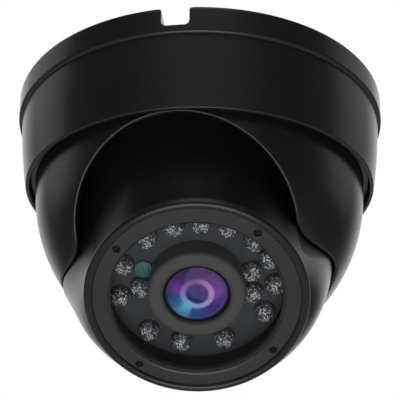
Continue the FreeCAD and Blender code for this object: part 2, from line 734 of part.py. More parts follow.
def desiccant_pack():
    pack = box(16.0, 9.0, -3.4, -0.6, 0.0, 9.5)
    return pack.makeFillet(1.0, pack.Edges)


# ---- write everything ------------------------------------------------------------------------------------
def main():
    save("base_plate", base_plate())
    save("base_gasket", base_gasket())
    save_group("seat_pads", seat_pads())
    save("trim_ring", trim_ring())
    save("ring_lock_screw", lock_screw())
    save("friction_ring", friction_ring())

    one_piece = {
        "hood_shell": hood_shell, "rear_shell": rear_shell, "front_shell": front_shell,
        "shell_seal": shell_seal, "front_bezel": front_bezel, "window_seal": window_seal,
        "front_window": front_window, "led_board": led_board, "led_mask": led_mask,
        "photocell": photocell, "lens_shroud": lens_shroud, "lens_barrel": lens_barrel,
        "front_lens": front_lens, "middle_lens": middle_lens, "rear_lens": rear_lens,
        "lens_retainer": lens_retainer, "lens_lock_nut": lens_lock_nut, "lens_holder": lens_holder,
        "ir_cut_housing": ir_cut_housing, "ir_cut_slider": ir_cut_slider, "ir_cut_rotor": ir_cut_rotor,
        "ir_cut_coil": ir_cut_coil, "image_sensor": image_sensor, "processor": processor,
        "heat_pad": heat_pad, "heat_plate": heat_plate, "transformer": transformer,
        "cable_gland": cable_gland, "gland_nut": gland_nut, "desiccant_pack": desiccant_pack,
    }
    for name, make in one_piece.items():
        save(name, aim(make()))
    groups = {
        "case_screws": case_screws(), "bezel_screws": bezel_screws(),
        "outer_ir_leds": ir_leds(OUTER_LEDS_R, OUTER_LED_ANGLES),
        "inner_ir_leds": ir_leds(INNER_LEDS_R, INNER_LED_ANGLES),
        "board_spacers": board_spacers(), "board_screws": board_screws(), "board_nuts": board_nuts(),
        "board_connectors": board_connectors(), "capacitors": capacitors(),
    }
    for name, solids in groups.items():
        save(name, aim(Part.makeCompound(solids)))
    save("sensor_board", aim(board(SENSOR_BOARD_A)))
    save("power_board", aim(board(POWER_BOARD_A)))
    save("day_filter", aim(filter_pane(1)))
    save("night_filter", aim(filter_pane(-1)))


main()
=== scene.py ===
from math import acos, asin, atan2, cos, degrees, hypot, pi, radians, sin, sqrt, tan

import bmesh
import bpy
import numpy as np
from mathutils import Matrix, Vector


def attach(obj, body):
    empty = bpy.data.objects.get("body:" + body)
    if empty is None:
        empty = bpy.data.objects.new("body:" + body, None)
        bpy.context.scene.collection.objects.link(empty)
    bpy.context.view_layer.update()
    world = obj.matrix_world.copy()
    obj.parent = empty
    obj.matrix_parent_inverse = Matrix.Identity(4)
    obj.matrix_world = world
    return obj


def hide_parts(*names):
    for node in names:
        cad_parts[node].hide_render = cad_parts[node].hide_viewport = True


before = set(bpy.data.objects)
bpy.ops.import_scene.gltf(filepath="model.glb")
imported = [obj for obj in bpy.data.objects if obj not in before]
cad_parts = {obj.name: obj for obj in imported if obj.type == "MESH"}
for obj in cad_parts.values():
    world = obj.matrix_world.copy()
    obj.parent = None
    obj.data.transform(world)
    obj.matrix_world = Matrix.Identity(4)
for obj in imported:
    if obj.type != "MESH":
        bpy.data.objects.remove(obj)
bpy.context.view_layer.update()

# ---- sizes, millimetres and degrees, as in the CAD part -------------------------------------------------
MM = 0.001
BASE_R, BASE_LOW_R, BASE_H, SEAM = 46.75, 46.1, 6.0, 0.3
PLATE_T, PLATE_HOLE_R = 2.5, 35.5
SPIGOT_R, SPIGOT_INNER_R, SPIGOT_END = 43.3, 41.8, -11.0
LUG_ANGLES = (30, 150, 270)
BASE_LUGS = (-9.6, -8.4)
RING_LUGS = (-8.1, -6.9)
SCREW_PCD_R, SCREW_HOLE_R, SCREW_ANGLES = 39.0, 2.2, (90, 210, 330)
GASKET_R = 44.6
NOTCH_ANGLE, NOTCH_W, NOTCH_H = -7.0, 6.4, 4.8
LOCK_Z, TWIST = -9.0, 22
RING_TOP_R, RING_BOTTOM, RING_FOOT_R, RING_MOUTH_R = 46.0, -24.7, 43.9, 42.85
RING_WALL, RING_FOOT = 1.4, 0.5
BALL_R, BALL_Z, SHELL_T, GAP = 41.2, -24.6, 1.8, 0.3
LENS_DOWN, LENS_PAN, LENS_ROLL = 54.6, -0.9, 7.5
TILT_MID, REAR_H, ROOF_T = 71.5, 11.5, 2.0
SPLIT_A, FLANGE_A = -2.0, 1.0
FLANGE_R = BALL_R - SHELL_T - GAP
ARCH_R, ARCH_TOP, SKIRT_R, FLARE_Y, HOOD_X = 25.0, 34.0, 34.75, -10.9, -1.6
ROOT_R, ROOT_A, HOLLOW_A, GROOVE = 34.5, 22.0, 14.0, 0.45
CHIN_TAPER, CHIN_ROLL = 0.30, 3.1
CHEEK_END, CHIN_START = 62.0, 114.0
CHEEK_STEP, CHEEK_SPREAD, CHEEK_CURVE = 0.5, 7.0, 2.6
FACE_A, LIP_R, LIP_WALL, BEZEL_R, WINDOW_R = 46.6, 23.7, 0.6, 22.7, 19.6
GLASS_A, GLASS_T, CUP_R = 45.0, 1.0, 20.05
BEZEL_FOOT_A = FACE_A - 2.0     # the shelf inside the lip that the bezel stands on
LED_BOARD_A, BOARD_T, MASK_A = 35.8, 1.6, 39.9
CUP_FLOOR = LED_BOARD_A - BOARD_T - 0.1
BORE_R = 10.4             # hole in the cup's floor for the lens
BEZEL_SCREW_R, BEZEL_SCREW_ANGLES = 21.1, (45, 135, 225, 315)
LED_R, LED_H, OUTER_LEDS_R, INNER_LEDS_R = 2.4, 7.4, (17.3, 15.4), (12.45, 12.45)
OUTER_LED_ANGLES = (-136, -109, -76, -36, -8, 17, 37, 60, 80, 100, 122, 153, 183)
INNER_LED_ANGLES = (-17, 8, 176)
LAMP_TURN = 7             # turns each lamp about its own axis, so that their glints differ
PHOTOCELL_R, PHOTOCELL_ANGLE = 12.3, 155
SHROUD_R, LENS_R, LENS_TIP = 10.0, 7.9, 44.2

AROUND = 384              # steps round a large turned piece
SMOOTH_ANGLE = radians(32)

AIM = (Matrix.Translation((0, 0, BALL_Z * MM)) @ Matrix.Rotation(radians(LENS_PAN), 4, "Z")
       @ Matrix.Rotation(radians(90 + LENS_DOWN), 4, "X") @ Matrix.Rotation(radians(LENS_ROLL), 4, "Z"))
UPRIGHT = Matrix.Identity(4)


# ---- mesh helpers ---------------------------------------------------------------------------------------
def on_circle(radius, angle):
    return radius * cos(radians(angle)), radius * sin(radians(angle))


def rounded(corners, steps=5):
    """Outline through corners (r, z, fillet), with an arc in place of each corner that has a fillet.

    The first and last corners must have no fillet unless the outline closes on itself. The fillet sets
    where an arc would start and end. Known fault: slerp gives unit vectors, so every arc is drawn 1 mm
    from its centre, and a corner with a smaller fillet stands out by the difference.
    """
    outline = []
    for i, (r, z, fillet) in enumerate(corners):
        here = Vector((r, z))
        before = Vector(corners[i - 1][:2]) - here
        after = Vector(corners[(i + 1) % len(corners)][:2]) - here
        if fillet <= 0:
            outline.append((r, z))
            continue
        half = before.angle(after) / 2
        reach = min(fillet / tan(half), before.length * 0.49, after.length * 0.49)
        fillet = reach * tan(half)
        start = here + before.normalized() * reach
        end = here + after.normalized() * reach
        centre = here + (before.normalized() + after.normalized()).normalized() * (fillet / sin(half))
        a, b = start - centre, end - centre
        for k in range(steps + 1):
            arm = a.slerp(b, k / steps)
            outline.append(tuple(centre + arm))
    return outline


def mesh_object(name, points, faces, place=UPRIGHT):
    mesh = bpy.data.meshes.new(name)
    mesh.from_pydata(points, [], faces)
    obj = bpy.data.objects.new(name, mesh)
    bpy.context.scene.collection.objects.link(obj)
    tidy_normals(mesh)
    obj.matrix_world = place
    return obj


def tidy_normals(mesh):
    bm = bmesh.new()
    bm.from_mesh(mesh)
    bmesh.ops.recalc_face_normals(bm, faces=bm.faces)
    bm.to_mesh(mesh)
    bm.free()
    mesh.shade_smooth()
    mesh.set_sharp_from_angle(angle=SMOOTH_ANGLE)


def at_angle(section, angle):
    """Turns (r, z) points to an angle about Z, 0 degrees at the top (+Y)."""
    s, c = sin(radians(angle)), cos(radians(angle))
    return [(r * s, r * c, z) for r, z in section]


def swept(name, section, count=AROUND, place=UPRIGHT):
    """Closed ring whose closed section(angle) is a list of (r, z) points."""
    return looped(name, [at_angle(section(360 * i / count), 360 * i / count) for i in range(count)], place)


def looped(name, rows, place=UPRIGHT):
    """Closed ring from its closed cross-sections in order, each a list of (x, y, z) in millimetres."""
    count, size = len(rows), len(rows[0])
    points = [(x * MM, y * MM, z * MM) for row in rows for x, y, z in row]
    faces = []
    for i in range(count):
        for j in range(size):
            a, b = i * size + j, i * size + (j + 1) % size
            c, d = (i + 1) % count * size + (j + 1) % size, (i + 1) % count * size + j
            faces.append((a, b, c, d))
    return mesh_object(name, points, faces, place)


def turned(name, corners, count=AROUND, place=UPRIGHT, steps=5):
    outline = rounded(corners, steps)
    return swept(name, lambda angle: outline, count, place)


def domed(name, outline, count=96, place=UPRIGHT):
    """Turned body whose outline starts and ends on the axis."""
    inner = outline[1:-1]
    points = [(0, 0, outline[0][1] * MM), (0, 0, outline[-1][1] * MM)]
    faces = []
    size = len(inner)
    for i in range(count):
        s, c = sin(2 * pi * i / count), cos(2 * pi * i / count)
        points += [(r * s * MM, r * c * MM, z * MM) for r, z in inner]
    for i in range(count):
        here, there = 2 + i * size, 2 + (i + 1) % count * size
        faces.append((0, here, there))
        faces.append((1, there + size - 1, here + size - 1))
        faces += [(here + j, here + j + 1, there + j + 1, there + j) for j in range(size - 1)]
    return mesh_object(name, points, faces, place)


def prism(outline, low, high, along=UPRIGHT):
    """Block of an outline (x, y) between two heights, as a throwaway cutter."""
    count = len(outline)
    points = [(x * MM, y * MM, z * MM) for z in (low, high) for x, y in outline]
    faces = [tuple(range(count))[::-1], tuple(range(count, 2 * count))]
    faces += [(i, (i + 1) % count, count + (i + 1) % count, count + i) for i in range(count)]
    return mesh_object("cutter", points, faces, along)


def circle(radius, x=0.0, y=0.0, count=48):
    turns = [2 * pi * i / count for i in range(count)]
    return [(x + radius * cos(turn), y + radius * sin(turn)) for turn in turns]


def modified(obj, kind, **settings):
    """Applies a modifier at once."""
    modifier = obj.modifiers.new(kind, kind)
    for key, value in settings.items():
        setattr(modifier, key, value)
    bpy.context.view_layer.update()
    mesh = bpy.data.meshes.new_from_object(obj.evaluated_get(bpy.context.evaluated_depsgraph_get()))
    obj.modifiers.clear()
    obj.data = mesh


def cut(obj, *cutters):
    for cutter in cutters:
        modified(obj, "BOOLEAN", object=cutter, operation="DIFFERENCE", solver="EXACT")
        bpy.data.objects.remove(cutter)
    obj.data.shade_smooth()
    obj.data.set_sharp_from_angle(angle=SMOOTH_ANGLE)


def even_normals(obj):
    """Large faces keep flat shading beside their rounded edges."""
    modified(obj, "WEIGHTED_NORMAL", keep_sharp=True, weight=60)


def join(target, *others):
    """Adds other objects' meshes to target; all share one place."""
    bm = bmesh.new()
    for obj in (target, *others):
        bm.from_mesh(obj.data)
    bm.to_mesh(target.data)
    bm.free()
    for obj in others:
        bpy.data.objects.remove(obj)
    target.data.shade_smooth()
    target.data.set_sharp_from_angle(angle=SMOOTH_ANGLE)


# ---- material helpers -----------------------------------------------------------------------------------
class Look:
    """A node material with a Principled shader and a few shorthands."""

    def __init__(self, name, colour, roughness=0.5, metallic=0.0, **inputs):
        self.material = bpy.data.materials.new(name)
        self.material.use_nodes = True
        self.tree = self.material.node_tree
        self.shader = self.tree.nodes["Principled BSDF"]
        self.output = self.tree.nodes["Material Output"]
        self.coordinates = self.node("ShaderNodeTexCoord").outputs["Object"]
        self.set(self.shader, "Base Color", (*colour, 1.0))
        self.set(self.shader, "Roughness", roughness)
        self.set(self.shader, "Metallic", metallic)
        for key, value in inputs.items():
            self.set(self.shader, key.replace("_", " "), value)

    def node(self, kind, **settings):
        made = self.tree.nodes.new(kind)
        for key, value in settings.items():
            setattr(made, key, value)
        return made

    def set(self, node, key, value):
        socket = node.inputs[key]
        if isinstance(value, bpy.types.NodeSocket):
            self.tree.links.new(value, socket)
        else:
            socket.default_value = value

    def noise(self, size_mm, detail=4.0, roughness=0.55, stretch=(1, 1, 1)):
        mapping = self.node("ShaderNodeMapping")
        self.set(mapping, "Vector", self.coordinates)
        self.set(mapping, "Scale", stretch)
        noise = self.node("ShaderNodeTexNoise")
        self.set(noise, "Vector", mapping.outputs[0])
        self.set(noise, "Scale", 1 / (size_mm * MM))
        self.set(noise, "Detail", detail)
        self.set(noise, "Roughness", roughness)
        return noise.outputs["Fac"]

    def cells(self, size_mm, feature="F1", output="Distance"):
        cells = self.node("ShaderNodeTexVoronoi", feature=feature)
        self.set(cells, "Vector", self.coordinates)
        self.set(cells, "Scale", 1 / (size_mm * MM))
        return cells.outputs[output]

    def ranged(self, value, low, high, start=0.3, end=0.7):
        """Maps start..end of a value to low..high."""
        made = self.node("ShaderNodeMapRange")
        self.set(made, "Value", value)
        for key, number in (("From Min", start), ("From Max", end), ("To Min", low), ("To Max", high)):
            self.set(made, key, number)
        return made.outputs["Result"]

    def maths(self, operation, a, b=0.0, clamp=False):
        made = self.node("ShaderNodeMath", operation=operation, use_clamp=clamp)
        self.set(made, 0, a)
        self.set(made, 1, b)
        return made.outputs[0]

    def mix(self, factor, a, b, blend="MIX"):
        made = self.node("ShaderNodeMix", data_type="RGBA", blend_type=blend)
        self.set(made, 0, factor)
        self.set(made, 6, a)
        self.set(made, 7, b)
        return made.outputs[2]

    def ramp(self, value, stops):
        """Colour by value through stops (place, (r, g, b)) in rising order."""
        made = self.node("ShaderNodeValToRGB")
        self.set(made, "Fac", value)
        elements = made.color_ramp.elements
        while len(elements) < len(stops):
            elements.new(0.5)
        for element, (place, colour) in zip(elements, stops):
            element.position = place
            element.color = (*colour, 1.0)
        return made.outputs["Color"]

    def offset(self, x_mm, y_mm):
        """Position across the axis from a centre, in millimetres."""
        mapping = self.node("ShaderNodeMapping")
        self.set(mapping, "Vector", self.coordinates)
        self.set(mapping, "Location", (-x_mm, -y_mm, 0))
        self.set(mapping, "Scale", (1 / MM, 1 / MM, 0))
        return mapping.outputs[0]

    def radius(self, position):
        made = self.node("ShaderNodeVectorMath", operation="LENGTH")
        self.set(made, 0, position)
        return made.outputs["Value"]

    def heading(self, position):
        """Angle about the axis as 0..1: 0.25 is down, 0.5 right, 0.75 up and 0 or 1 left."""
        parts = self.node("ShaderNodeSeparateXYZ")
        self.set(parts, 0, position)
        turn = self.maths("ARCTAN2", parts.outputs["Y"], parts.outputs["X"])
        return self.maths("ADD", self.maths("DIVIDE", turn, 2 * pi), 0.5)

    def band(self, value, low, high, soft=0.15):
        """1 between low and high, fading to 0 outside."""
        rise = self.ranged(value, 0.0, 1.0, low - soft, low + soft)
        fall = self.ranged(value, 1.0, 0.0, high - soft, high + soft)
        return self.maths("MULTIPLY", rise, fall)

    def bump(self, height, depth_mm, strength=1.0, normal=None):
        made = self.node("ShaderNodeBump")
        self.set(made, "Height", height)
        self.set(made, "Distance", depth_mm * MM)
        self.set(made, "Strength", strength)
        if normal is not None:
            self.set(made, "Normal", normal)
        return made.outputs["Normal"]


def grained(name, colour, roughness, grain_mm=0.35, depth_mm=0.012, spread=0.05, lighter=1.35, **inputs):
    """Moulded or painted surface: fine grain, uneven gloss and a slight change of tone."""
    look = Look(name, colour, roughness, **inputs)
    grain = look.noise(grain_mm, detail=3.0)
    cloud = look.noise(14.0, detail=5.0)
    tone = look.ranged(cloud, 0.0, 1.0)
    light = tuple(min(1.0, c * lighter) for c in colour)
    look.set(look.shader, "Base Color", look.mix(tone, (*colour, 1.0), (*light, 1.0)))
    fine = look.ranged(grain, -spread, spread)
    wide = look.ranged(cloud, -spread * 0.6, spread * 0.6)
    rough = look.maths("ADD", look.maths("ADD", fine, wide), roughness, clamp=True)
    look.set(look.shader, "Roughness", rough)
    look.set(look.shader, "Normal", look.bump(grain, depth_mm))
    return look


def paint(obj, look):
    obj.data.materials.clear()
    obj.data.materials.append(look.material)


def place_piece(obj, body, look, slot, *replaced):
    paint(obj, look)
    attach(obj, body)
    if replaced:
        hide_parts(*replaced)


# ---- looks ----------------------------------------------------------------------------------------------
BLACK = (0.011, 0.011, 0.012)


def housing_look(name):
    """Satin black paint on the moulded housing."""
    return grained(name, BLACK, 0.29, grain_mm=0.30, depth_mm=0.003, spread=0.03, lighter=1.25)


def bezel_look():
    return grained("bezel_satin", (0.030, 0.030, 0.033), 0.30, grain_mm=0.25, depth_mm=0.006, spread=0.05)


def mask_look():
    return grained("mask_moulding", (0.055, 0.055, 0.058), 0.60, grain_mm=0.5, depth_mm=0.01, spread=0.05)


def rubber_look(name, colour=(0.05, 0.05, 0.052), roughness=0.72):
    return grained(name, colour, roughness, grain_mm=0.6, depth_mm=0.02, spread=0.06)


def foam_look():
    look = grained("closed_cell_foam", (0.03, 0.03, 0.03), 0.85, grain_mm=0.7, depth_mm=0.05)
    pores = look.cells(0.5)
    look.set(look.shader, "Normal", look.bump(pores, 0.12))
    return look


def metal_look(name, colour, roughness, stretch=(1, 1, 12), **inputs):
    """Turned or pressed metal with fine tool marks."""
    look = Look(name, colour, roughness, 1.0, **inputs)
    marks = look.noise(0.5, detail=6.0, stretch=stretch)
    look.set(look.shader, "Roughness", look.ranged(marks, roughness * 0.75, min(1.0, roughness * 1.3)))
    look.set(look.shader, "Normal", look.bump(marks, 0.01))
    return look


def board_look(name, colour):
    """Solder mask with a pattern of traces."""
    look = Look(name, colour, 0.35, Coat_Weight=0.3)
    traces = look.cells(2.2, feature="DISTANCE_TO_EDGE")
    line = look.ranged(traces, 1.0, 0.0, 0.03, 0.06)
    light = tuple(min(1.0, c * 2.2) for c in colour)
    look.set(look.shader, "Base Color", look.mix(line, (*colour, 1.0), (*light, 1.0)))
    look.set(look.shader, "Normal", look.bump(line, 0.03))
    return look


def pane_look():
    """Thin clear window: what is behind shows through, with a reflection that grows at the edges."""
    look = Look("window_pane", (1, 1, 1), 0.02)
    clear = look.node("ShaderNodeBsdfTransparent")
    look.set(clear, "Color", (0.93, 0.94, 0.95, 1))
    gloss = look.node("ShaderNodeBsdfGlossy")
    look.set(gloss, "Roughness", 0.03)
    fresnel = look.node("ShaderNodeFresnel")
    look.set(fresnel, "IOR", 1.45)
    mix = look.node("ShaderNodeMixShader")
    look.set(mix, 0, look.maths("MULTIPLY", fresnel.outputs[0], 0.2))
    look.set(mix, 1, clear.outputs[0])
    look.set(mix, 2, gloss.outputs[0])
    look.set(look.output, "Surface", mix.outputs[0])
    return look


def lamp_look():
    """Clear epoxy of the lamps: a grey body, painted glints where the dome magnifies the cup, and painted
    light outlines.
    """
    look = Look("lamp_epoxy", (0.12, 0.12, 0.12), 0.15, Coat_Weight=1.0, Coat_Roughness=0.05)
    clear = look.node("ShaderNodeBsdfTransparent")
    look.set(clear, "Color", (0.95, 0.95, 0.96, 1))
    look.set(look.shader, "Normal", look.bump(look.noise(0.7, detail=5.0, roughness=0.7), 0.10))
    place = look.node("ShaderNodeSeparateXYZ")
    look.set(place, 0, look.coordinates)
    # Painted glints: white spots in the base colour near the dome's tip, standing in for light off the cup.
    tip = look.ranged(place.outputs["Z"], 0.2, 1.0, (MASK_A + 0.9) * MM, (MASK_A + 2.6) * MM)
    facets = look.ranged(look.cells(0.30, output="Color"), 0.0, 1.0, 0.66, 0.76)
    swirls = look.ranged(look.noise(0.5, detail=6.0, roughness=0.8), 0.0, 0.35, 0.53, 0.62)
    glint = look.maths("MULTIPLY", look.maths("ADD", facets, swirls, clamp=True), tip)
    look.set(look.shader, "Base Color", look.mix(glint, (0.10, 0.10, 0.104, 1), (1.0, 1.0, 1.0, 1)))
    # Painted light outlines: the grey body shows in place of the clear epoxy where the surface turns away
    # from view.
    edge = look.node("ShaderNodeLayerWeight")
    look.set(edge, "Blend", 0.35)
    body = look.maths("ADD", look.ranged(edge.outputs["Facing"], 0.50, 0.9, 0.35, 0.95), glint, clamp=True)
    mix = look.node("ShaderNodeMixShader")
    look.set(mix, 0, body)
    look.set(mix, 1, clear.outputs[0])
    look.set(mix, 2, look.shader.outputs[0])
    look.set(look.output, "Surface", mix.outputs[0])
    return look


def lamp_metal_look():
    """Silvered cup and die seen through the epoxy: painted glints, white spots in the colour with clear
    gaps between them.
    """
    look = Look("lamp_silver", (0.9, 0.9, 0.92), 0.3, 0.2, Specular_IOR_Level=1.0)
    facets = look.cells(0.30, output="Color")
    look.set(look.shader, "Normal", look.bump(facets, 0.5))
    # Painted glints: white spots in the base colour; the cup is clear where the spots fade.
    spots = look.noise(0.42, detail=7.0, roughness=0.85)
    glint = look.ranged(spots, 0.0, 1.0, 0.50, 0.58)
    look.set(look.shader, "Base Color", look.mix(glint, (0.12, 0.12, 0.12, 1), (1.0, 1.0, 1.0, 1)))
    clear = look.node("ShaderNodeBsdfTransparent")
    mix = look.node("ShaderNodeMixShader")
    look.set(mix, 0, look.ranged(spots, 0.10, 1.0, 0.46, 0.56))
    look.set(mix, 1, clear.outputs[0])
    look.set(mix, 2, look.shader.outputs[0])
    look.set(look.output, "Surface", mix.outputs[0])
    return look


# Painted reflections in the lens coating round the axis: left, down, right, up and left again; the dark
# stretch at the top is painted shade.
COATING_REFLECTION_AND_SHADE = (
    (0.00, (0.01, 0.10, 0.38)), (0.07, (0.04, 0.26, 0.60)), (0.12, (0.18, 0.66, 0.95)),
    (0.17, (0.14, 0.55, 0.88)), (0.19, (0.02, 0.14, 0.42)), (0.26, (0.03, 0.09, 0.48)),
    (0.34, (0.07, 0.02, 0.30)), (0.42, (0.18, 0.03, 0.40)), (0.50, (0.34, 0.05, 0.62)),
    (0.62, (0.10, 0.03, 0.20)), (0.75, (0.03, 0.02, 0.10)), (0.85, (0.09, 0.01, 0.20)),
    (0.93, (0.26, 0.04, 0.52)), (1.00, (0.01, 0.10, 0.38)),
)
# Colours of the painted reflection of the inner rings, round the axis.
INNER_RING_REFLECTION = (
    (0.00, (0.34, 0.38, 0.95)), (0.12, (0.30, 0.85, 1.00)), (0.25, (0.50, 0.58, 1.00)),
    (0.38, (0.75, 0.52, 1.00)), (0.50, (1.00, 0.66, 1.00)), (0.62, (0.85, 0.45, 0.95)),
    (0.75, (0.28, 0.20, 0.50)), (0.88, (0.55, 0.18, 0.85)), (1.00, (0.34, 0.38, 0.95)),
)


# Painted reflection of a round light on the lens, from its middle to its edge.
LIGHT_REFLECTION_COLOURS = ((0.0, (0.62, 0.16, 0.70)), (0.6, (0.40, 0.14, 0.55)), (1.0, (0.20, 0.24, 0.50)))


def coated_lens_look():
    """Front element: painted coating reflections with painted shade at the top, painted reflections of the
    inner rings and of a round light, a painted dark pupil and painted highlight arcs.
    """
    look = Look("coated_front_glass", (0.1, 0.1, 0.3), 0.28, Coat_Weight=0.5, Coat_Roughness=0.02,
                Specular_IOR_Level=0.3)
    middle = look.offset(0.0, 0.1)
    ring_reflection_middle = look.offset(0.1, 0.1)
    light = look.offset(2.5, 2.9)
    out, reach = look.radius(middle), look.radius(ring_reflection_middle)
    # Painted coating reflections, brighter near the middle and darker towards the edge.
    outer = look.ramp(look.heading(middle), COATING_REFLECTION_AND_SHADE)
    near = look.ranged(out, 1.5, 0.32, 3.0, 7.2)
    outer = look.mix(1.0, outer, near, "MULTIPLY")
    # Painted reflection of the inner rings: a coloured band round the middle.
    ring = look.ramp(look.heading(ring_reflection_middle), INNER_RING_REFLECTION)
    colour = look.mix(look.band(reach, 2.5, 3.7, 0.25), outer, ring)
    # Painted shade: a dark pupil in the middle, where the lens shows its unlit inside.
    pupil_shade = look.ranged(reach, 1.0, 0.0, 2.1, 2.7)
    colour = look.mix(pupil_shade, colour, (0.008, 0.03, 0.20, 1))
    # Painted reflection of a round light, a disc off the middle.
    painted_light_reflection = look.ramp(look.ranged(look.radius(light), 0.0, 1.0, 0.0, 4.9), LIGHT_REFLECTION_COLOURS)
    painted_light_disc = look.maths("MULTIPLY", look.ranged(look.radius(light), 1.0, 0.0, 4.6, 4.8), 0.30)
    colour = look.mix(painted_light_disc, colour, painted_light_reflection)
    # Painted highlights: two thin light arcs along the lower side.
    low_left = look.band(look.heading(middle), 0.02, 0.45, 0.05)
    for distance in (6.2, 7.1):
        line = look.maths("MULTIPLY", look.band(out, distance - 0.08, distance + 0.08, 0.1), low_left)
        colour = look.mix(look.maths("MULTIPLY", line, 0.6), colour, (0.25, 0.30, 1.0, 1))
    colour = look.mix(look.ranged(out, 0.0, 0.95, 7.3, 7.75), colour, (0.002, 0.002, 0.004, 1))
    look.set(look.shader, "Base Color", colour)
    look.set(look.shader, "Roughness", look.ranged(look.noise(2.0), 0.24, 0.32))
    return look


def photocell_look():
    """Teal sensing face with a folded track."""
    look = Look("photocell_face", (0.03, 0.16, 0.16), 0.35, Coat_Weight=0.6)
    wave = look.node("ShaderNodeTexWave", wave_type="BANDS", bands_direction="X")
    look.set(wave, "Vector", look.coordinates)
    look.set(wave, "Scale", 500)
    stripes = look.ranged(wave.outputs["Fac"], 0.0, 1.0, 0.35, 0.65)
    look.set(look.shader, "Base Color", look.mix(stripes, (0.05, 0.15, 0.16, 1), (0.08, 0.27, 0.28, 1)))
    look.set(look.shader, "Normal", look.bump(stripes, 0.05))
    return look


# ---- base and ring --------------------------------------------------------------------------------------
def notch_outline():
    """Cable notch seen along its length: rounded inner corners and a rounded mouth."""
    half, inner, mouth = NOTCH_W / 2, 1.2, 0.9
    right = []
    for k in range(9):
        turn = radians(90 * k / 8)
        right.append((half + mouth - mouth * sin(turn), -mouth + mouth * cos(turn)))
    for k in range(9):
        turn = radians(90 * k / 8)
        right.append((half - inner + inner * cos(turn), -NOTCH_H + inner - inner * sin(turn)))
    top = [(half + mouth, 2.0)]
    left = [(-x, y) for x, y in reversed(top + right)]
    return top + right + left


def sector_block(outer, inner, low, high, middle, width):
    """A piece of a tube, width degrees wide about the angle middle (degrees from +X)."""
    count = 16
    angles = [middle - width / 2 + width * i / count for i in range(count + 1)]
    outline = [on_circle(outer, a) for a in angles] + [on_circle(inner, a) for a in reversed(angles)]
    return prism(outline, low, high)


def make_base():
    edge = 0.8
    corners = [(PLATE_HOLE_R, 0, 0.4), (GASKET_R - 0.7, 0, 0), (GASKET_R - 0.7, -0.9, 0),
               (GASKET_R + 0.7, -0.9, 0), (GASKET_R + 0.7, 0, 0), (BASE_R, 0, edge),
               (BASE_LOW_R, -BASE_H, 0.18), (BASE_R - 2.0, -BASE_H, 0.1), (BASE_R - 2.0, -PLATE_T, 0),
               (SPIGOT_R, -PLATE_T, 0), (SPIGOT_R, SPIGOT_END, 0.3), (SPIGOT_INNER_R, SPIGOT_END, 0.3),
               (SPIGOT_INNER_R, -PLATE_T, 0), (PLATE_HOLE_R, -PLATE_T, 0.4)]
    base = turned("base_housing", corners)
    lie_down = Matrix.Rotation(radians(NOTCH_ANGLE), 4, "Z") @ Matrix.Rotation(radians(90), 4, "X")
    cutters = [prism(notch_outline(), 33.5, 50.0, lie_down)]
    for angle in SCREW_ANGLES:
        x, y = on_circle(SCREW_PCD_R, angle)
        cutters.append(prism(circle(SCREW_HOLE_R, x, y), -PLATE_T - 1, 1))
    cut(base, *cutters)
    lugs = [sector_block(SPIGOT_R + 0.9, SPIGOT_R - 0.5, *BASE_LUGS, angle, 20) for angle in LUG_ANGLES]
    join(base, *lugs)
    even_normals(base)
    place_piece(base, "base", housing_look("base_paint"), "black_plastic", "base_plate")


def ring_side():
    """Outer side of the trim ring: a shallow curve from the seam to the foot."""
    top = -BASE_H - SEAM - 0.25
    shoulder = RING_BOTTOM + RING_FOOT
    side = []
    for k in range(25):
        t = k / 24
        radius = RING_TOP_R + (RING_FOOT_R - RING_TOP_R) * t + 1.2 * t * (1 - t)
        side.append((radius, top + (shoulder - top) * t))
    for k in range(1, 9):
        turn = radians(90 * k / 8)
        side.append((RING_FOOT_R - RING_FOOT + RING_FOOT * cos(turn), shoulder - RING_FOOT * sin(turn)))
    return side


def make_ring():
    top = -BASE_H - SEAM
    inner_top = RING_TOP_R - RING_WALL
    inside = rounded([(RING_MOUTH_R + 0.15, RING_BOTTOM, 0), (RING_MOUTH_R, RING_BOTTOM + 0.15, 0),
                      (RING_MOUTH_R, -18.0, 1.0), (inner_top, -10.2, 1.0), (inner_top, top, 0)], 4)
    edge = [(RING_TOP_R - 0.25, top), (RING_TOP_R - 0.07, top - 0.07)]
    outline = inside + edge + ring_side()
    ring = swept("trim_ring_shell", lambda angle: outline)
    slot = sector_block(60, SPIGOT_R + 0.6, LOCK_Z - 1.5, LOCK_Z + 1.5, 90 - TWIST / 2, TWIST + 4)
    cut(ring, slot)
    lugs = [sector_block(inner_top + 0.4, SPIGOT_R + GAP, *RING_LUGS, angle, 18) for angle in LUG_ANGLES]
    join(ring, *lugs)
    even_normals(ring)
    place_piece(ring, "ring", housing_look("ring_paint"), "ring_plastic", "trim_ring")


# ---- ball shells ----------------------------------------------------------------------------------------
def bell_outline(inset=0.0):
    """The hood's opening: an arch that flares out to the chin circle."""
    centre, arch, skirt = ARCH_TOP - ARCH_R, ARCH_R - inset, SKIRT_R - inset
    end_x = sqrt(skirt ** 2 - FLARE_Y ** 2)
    half = [(arch * sin(radians(a)), centre + arch * cos(radians(a))) for a in range(0, 90, 3)]
    poles = [Vector(p) for p in ((arch, centre), (arch + 0.2, 5.5), (arch + 1.2, 3.0), (end_x - 4.2, 1.0),
                                 (end_x + 0.9, -5.5), (end_x, FLARE_Y))]
    for k in range(41):
        level, t = list(poles), k / 40
        while len(level) > 1:
            level = [a.lerp(b, t) for a, b in zip(level, level[1:])]
        half.append(tuple(level[0]))
    start = degrees(atan2(FLARE_Y, end_x))
    half += [on_circle(skirt, start - (start + 90) * k / 30) for k in range(1, 31)]
    both = half + [(-x, y) for x, y in half[1:-1]]
    return [(x + HOOD_X, y) for x, y in both]


def by_angle(outline):
    """Angles from the top and radii of an outline, for opening_radius."""
    return [degrees(atan2(x, y)) for x, y in outline], [hypot(x, y) for x, y in outline]


OPENING = by_angle(bell_outline())
SNOUT_LIMIT = by_angle(bell_outline(GROOVE))


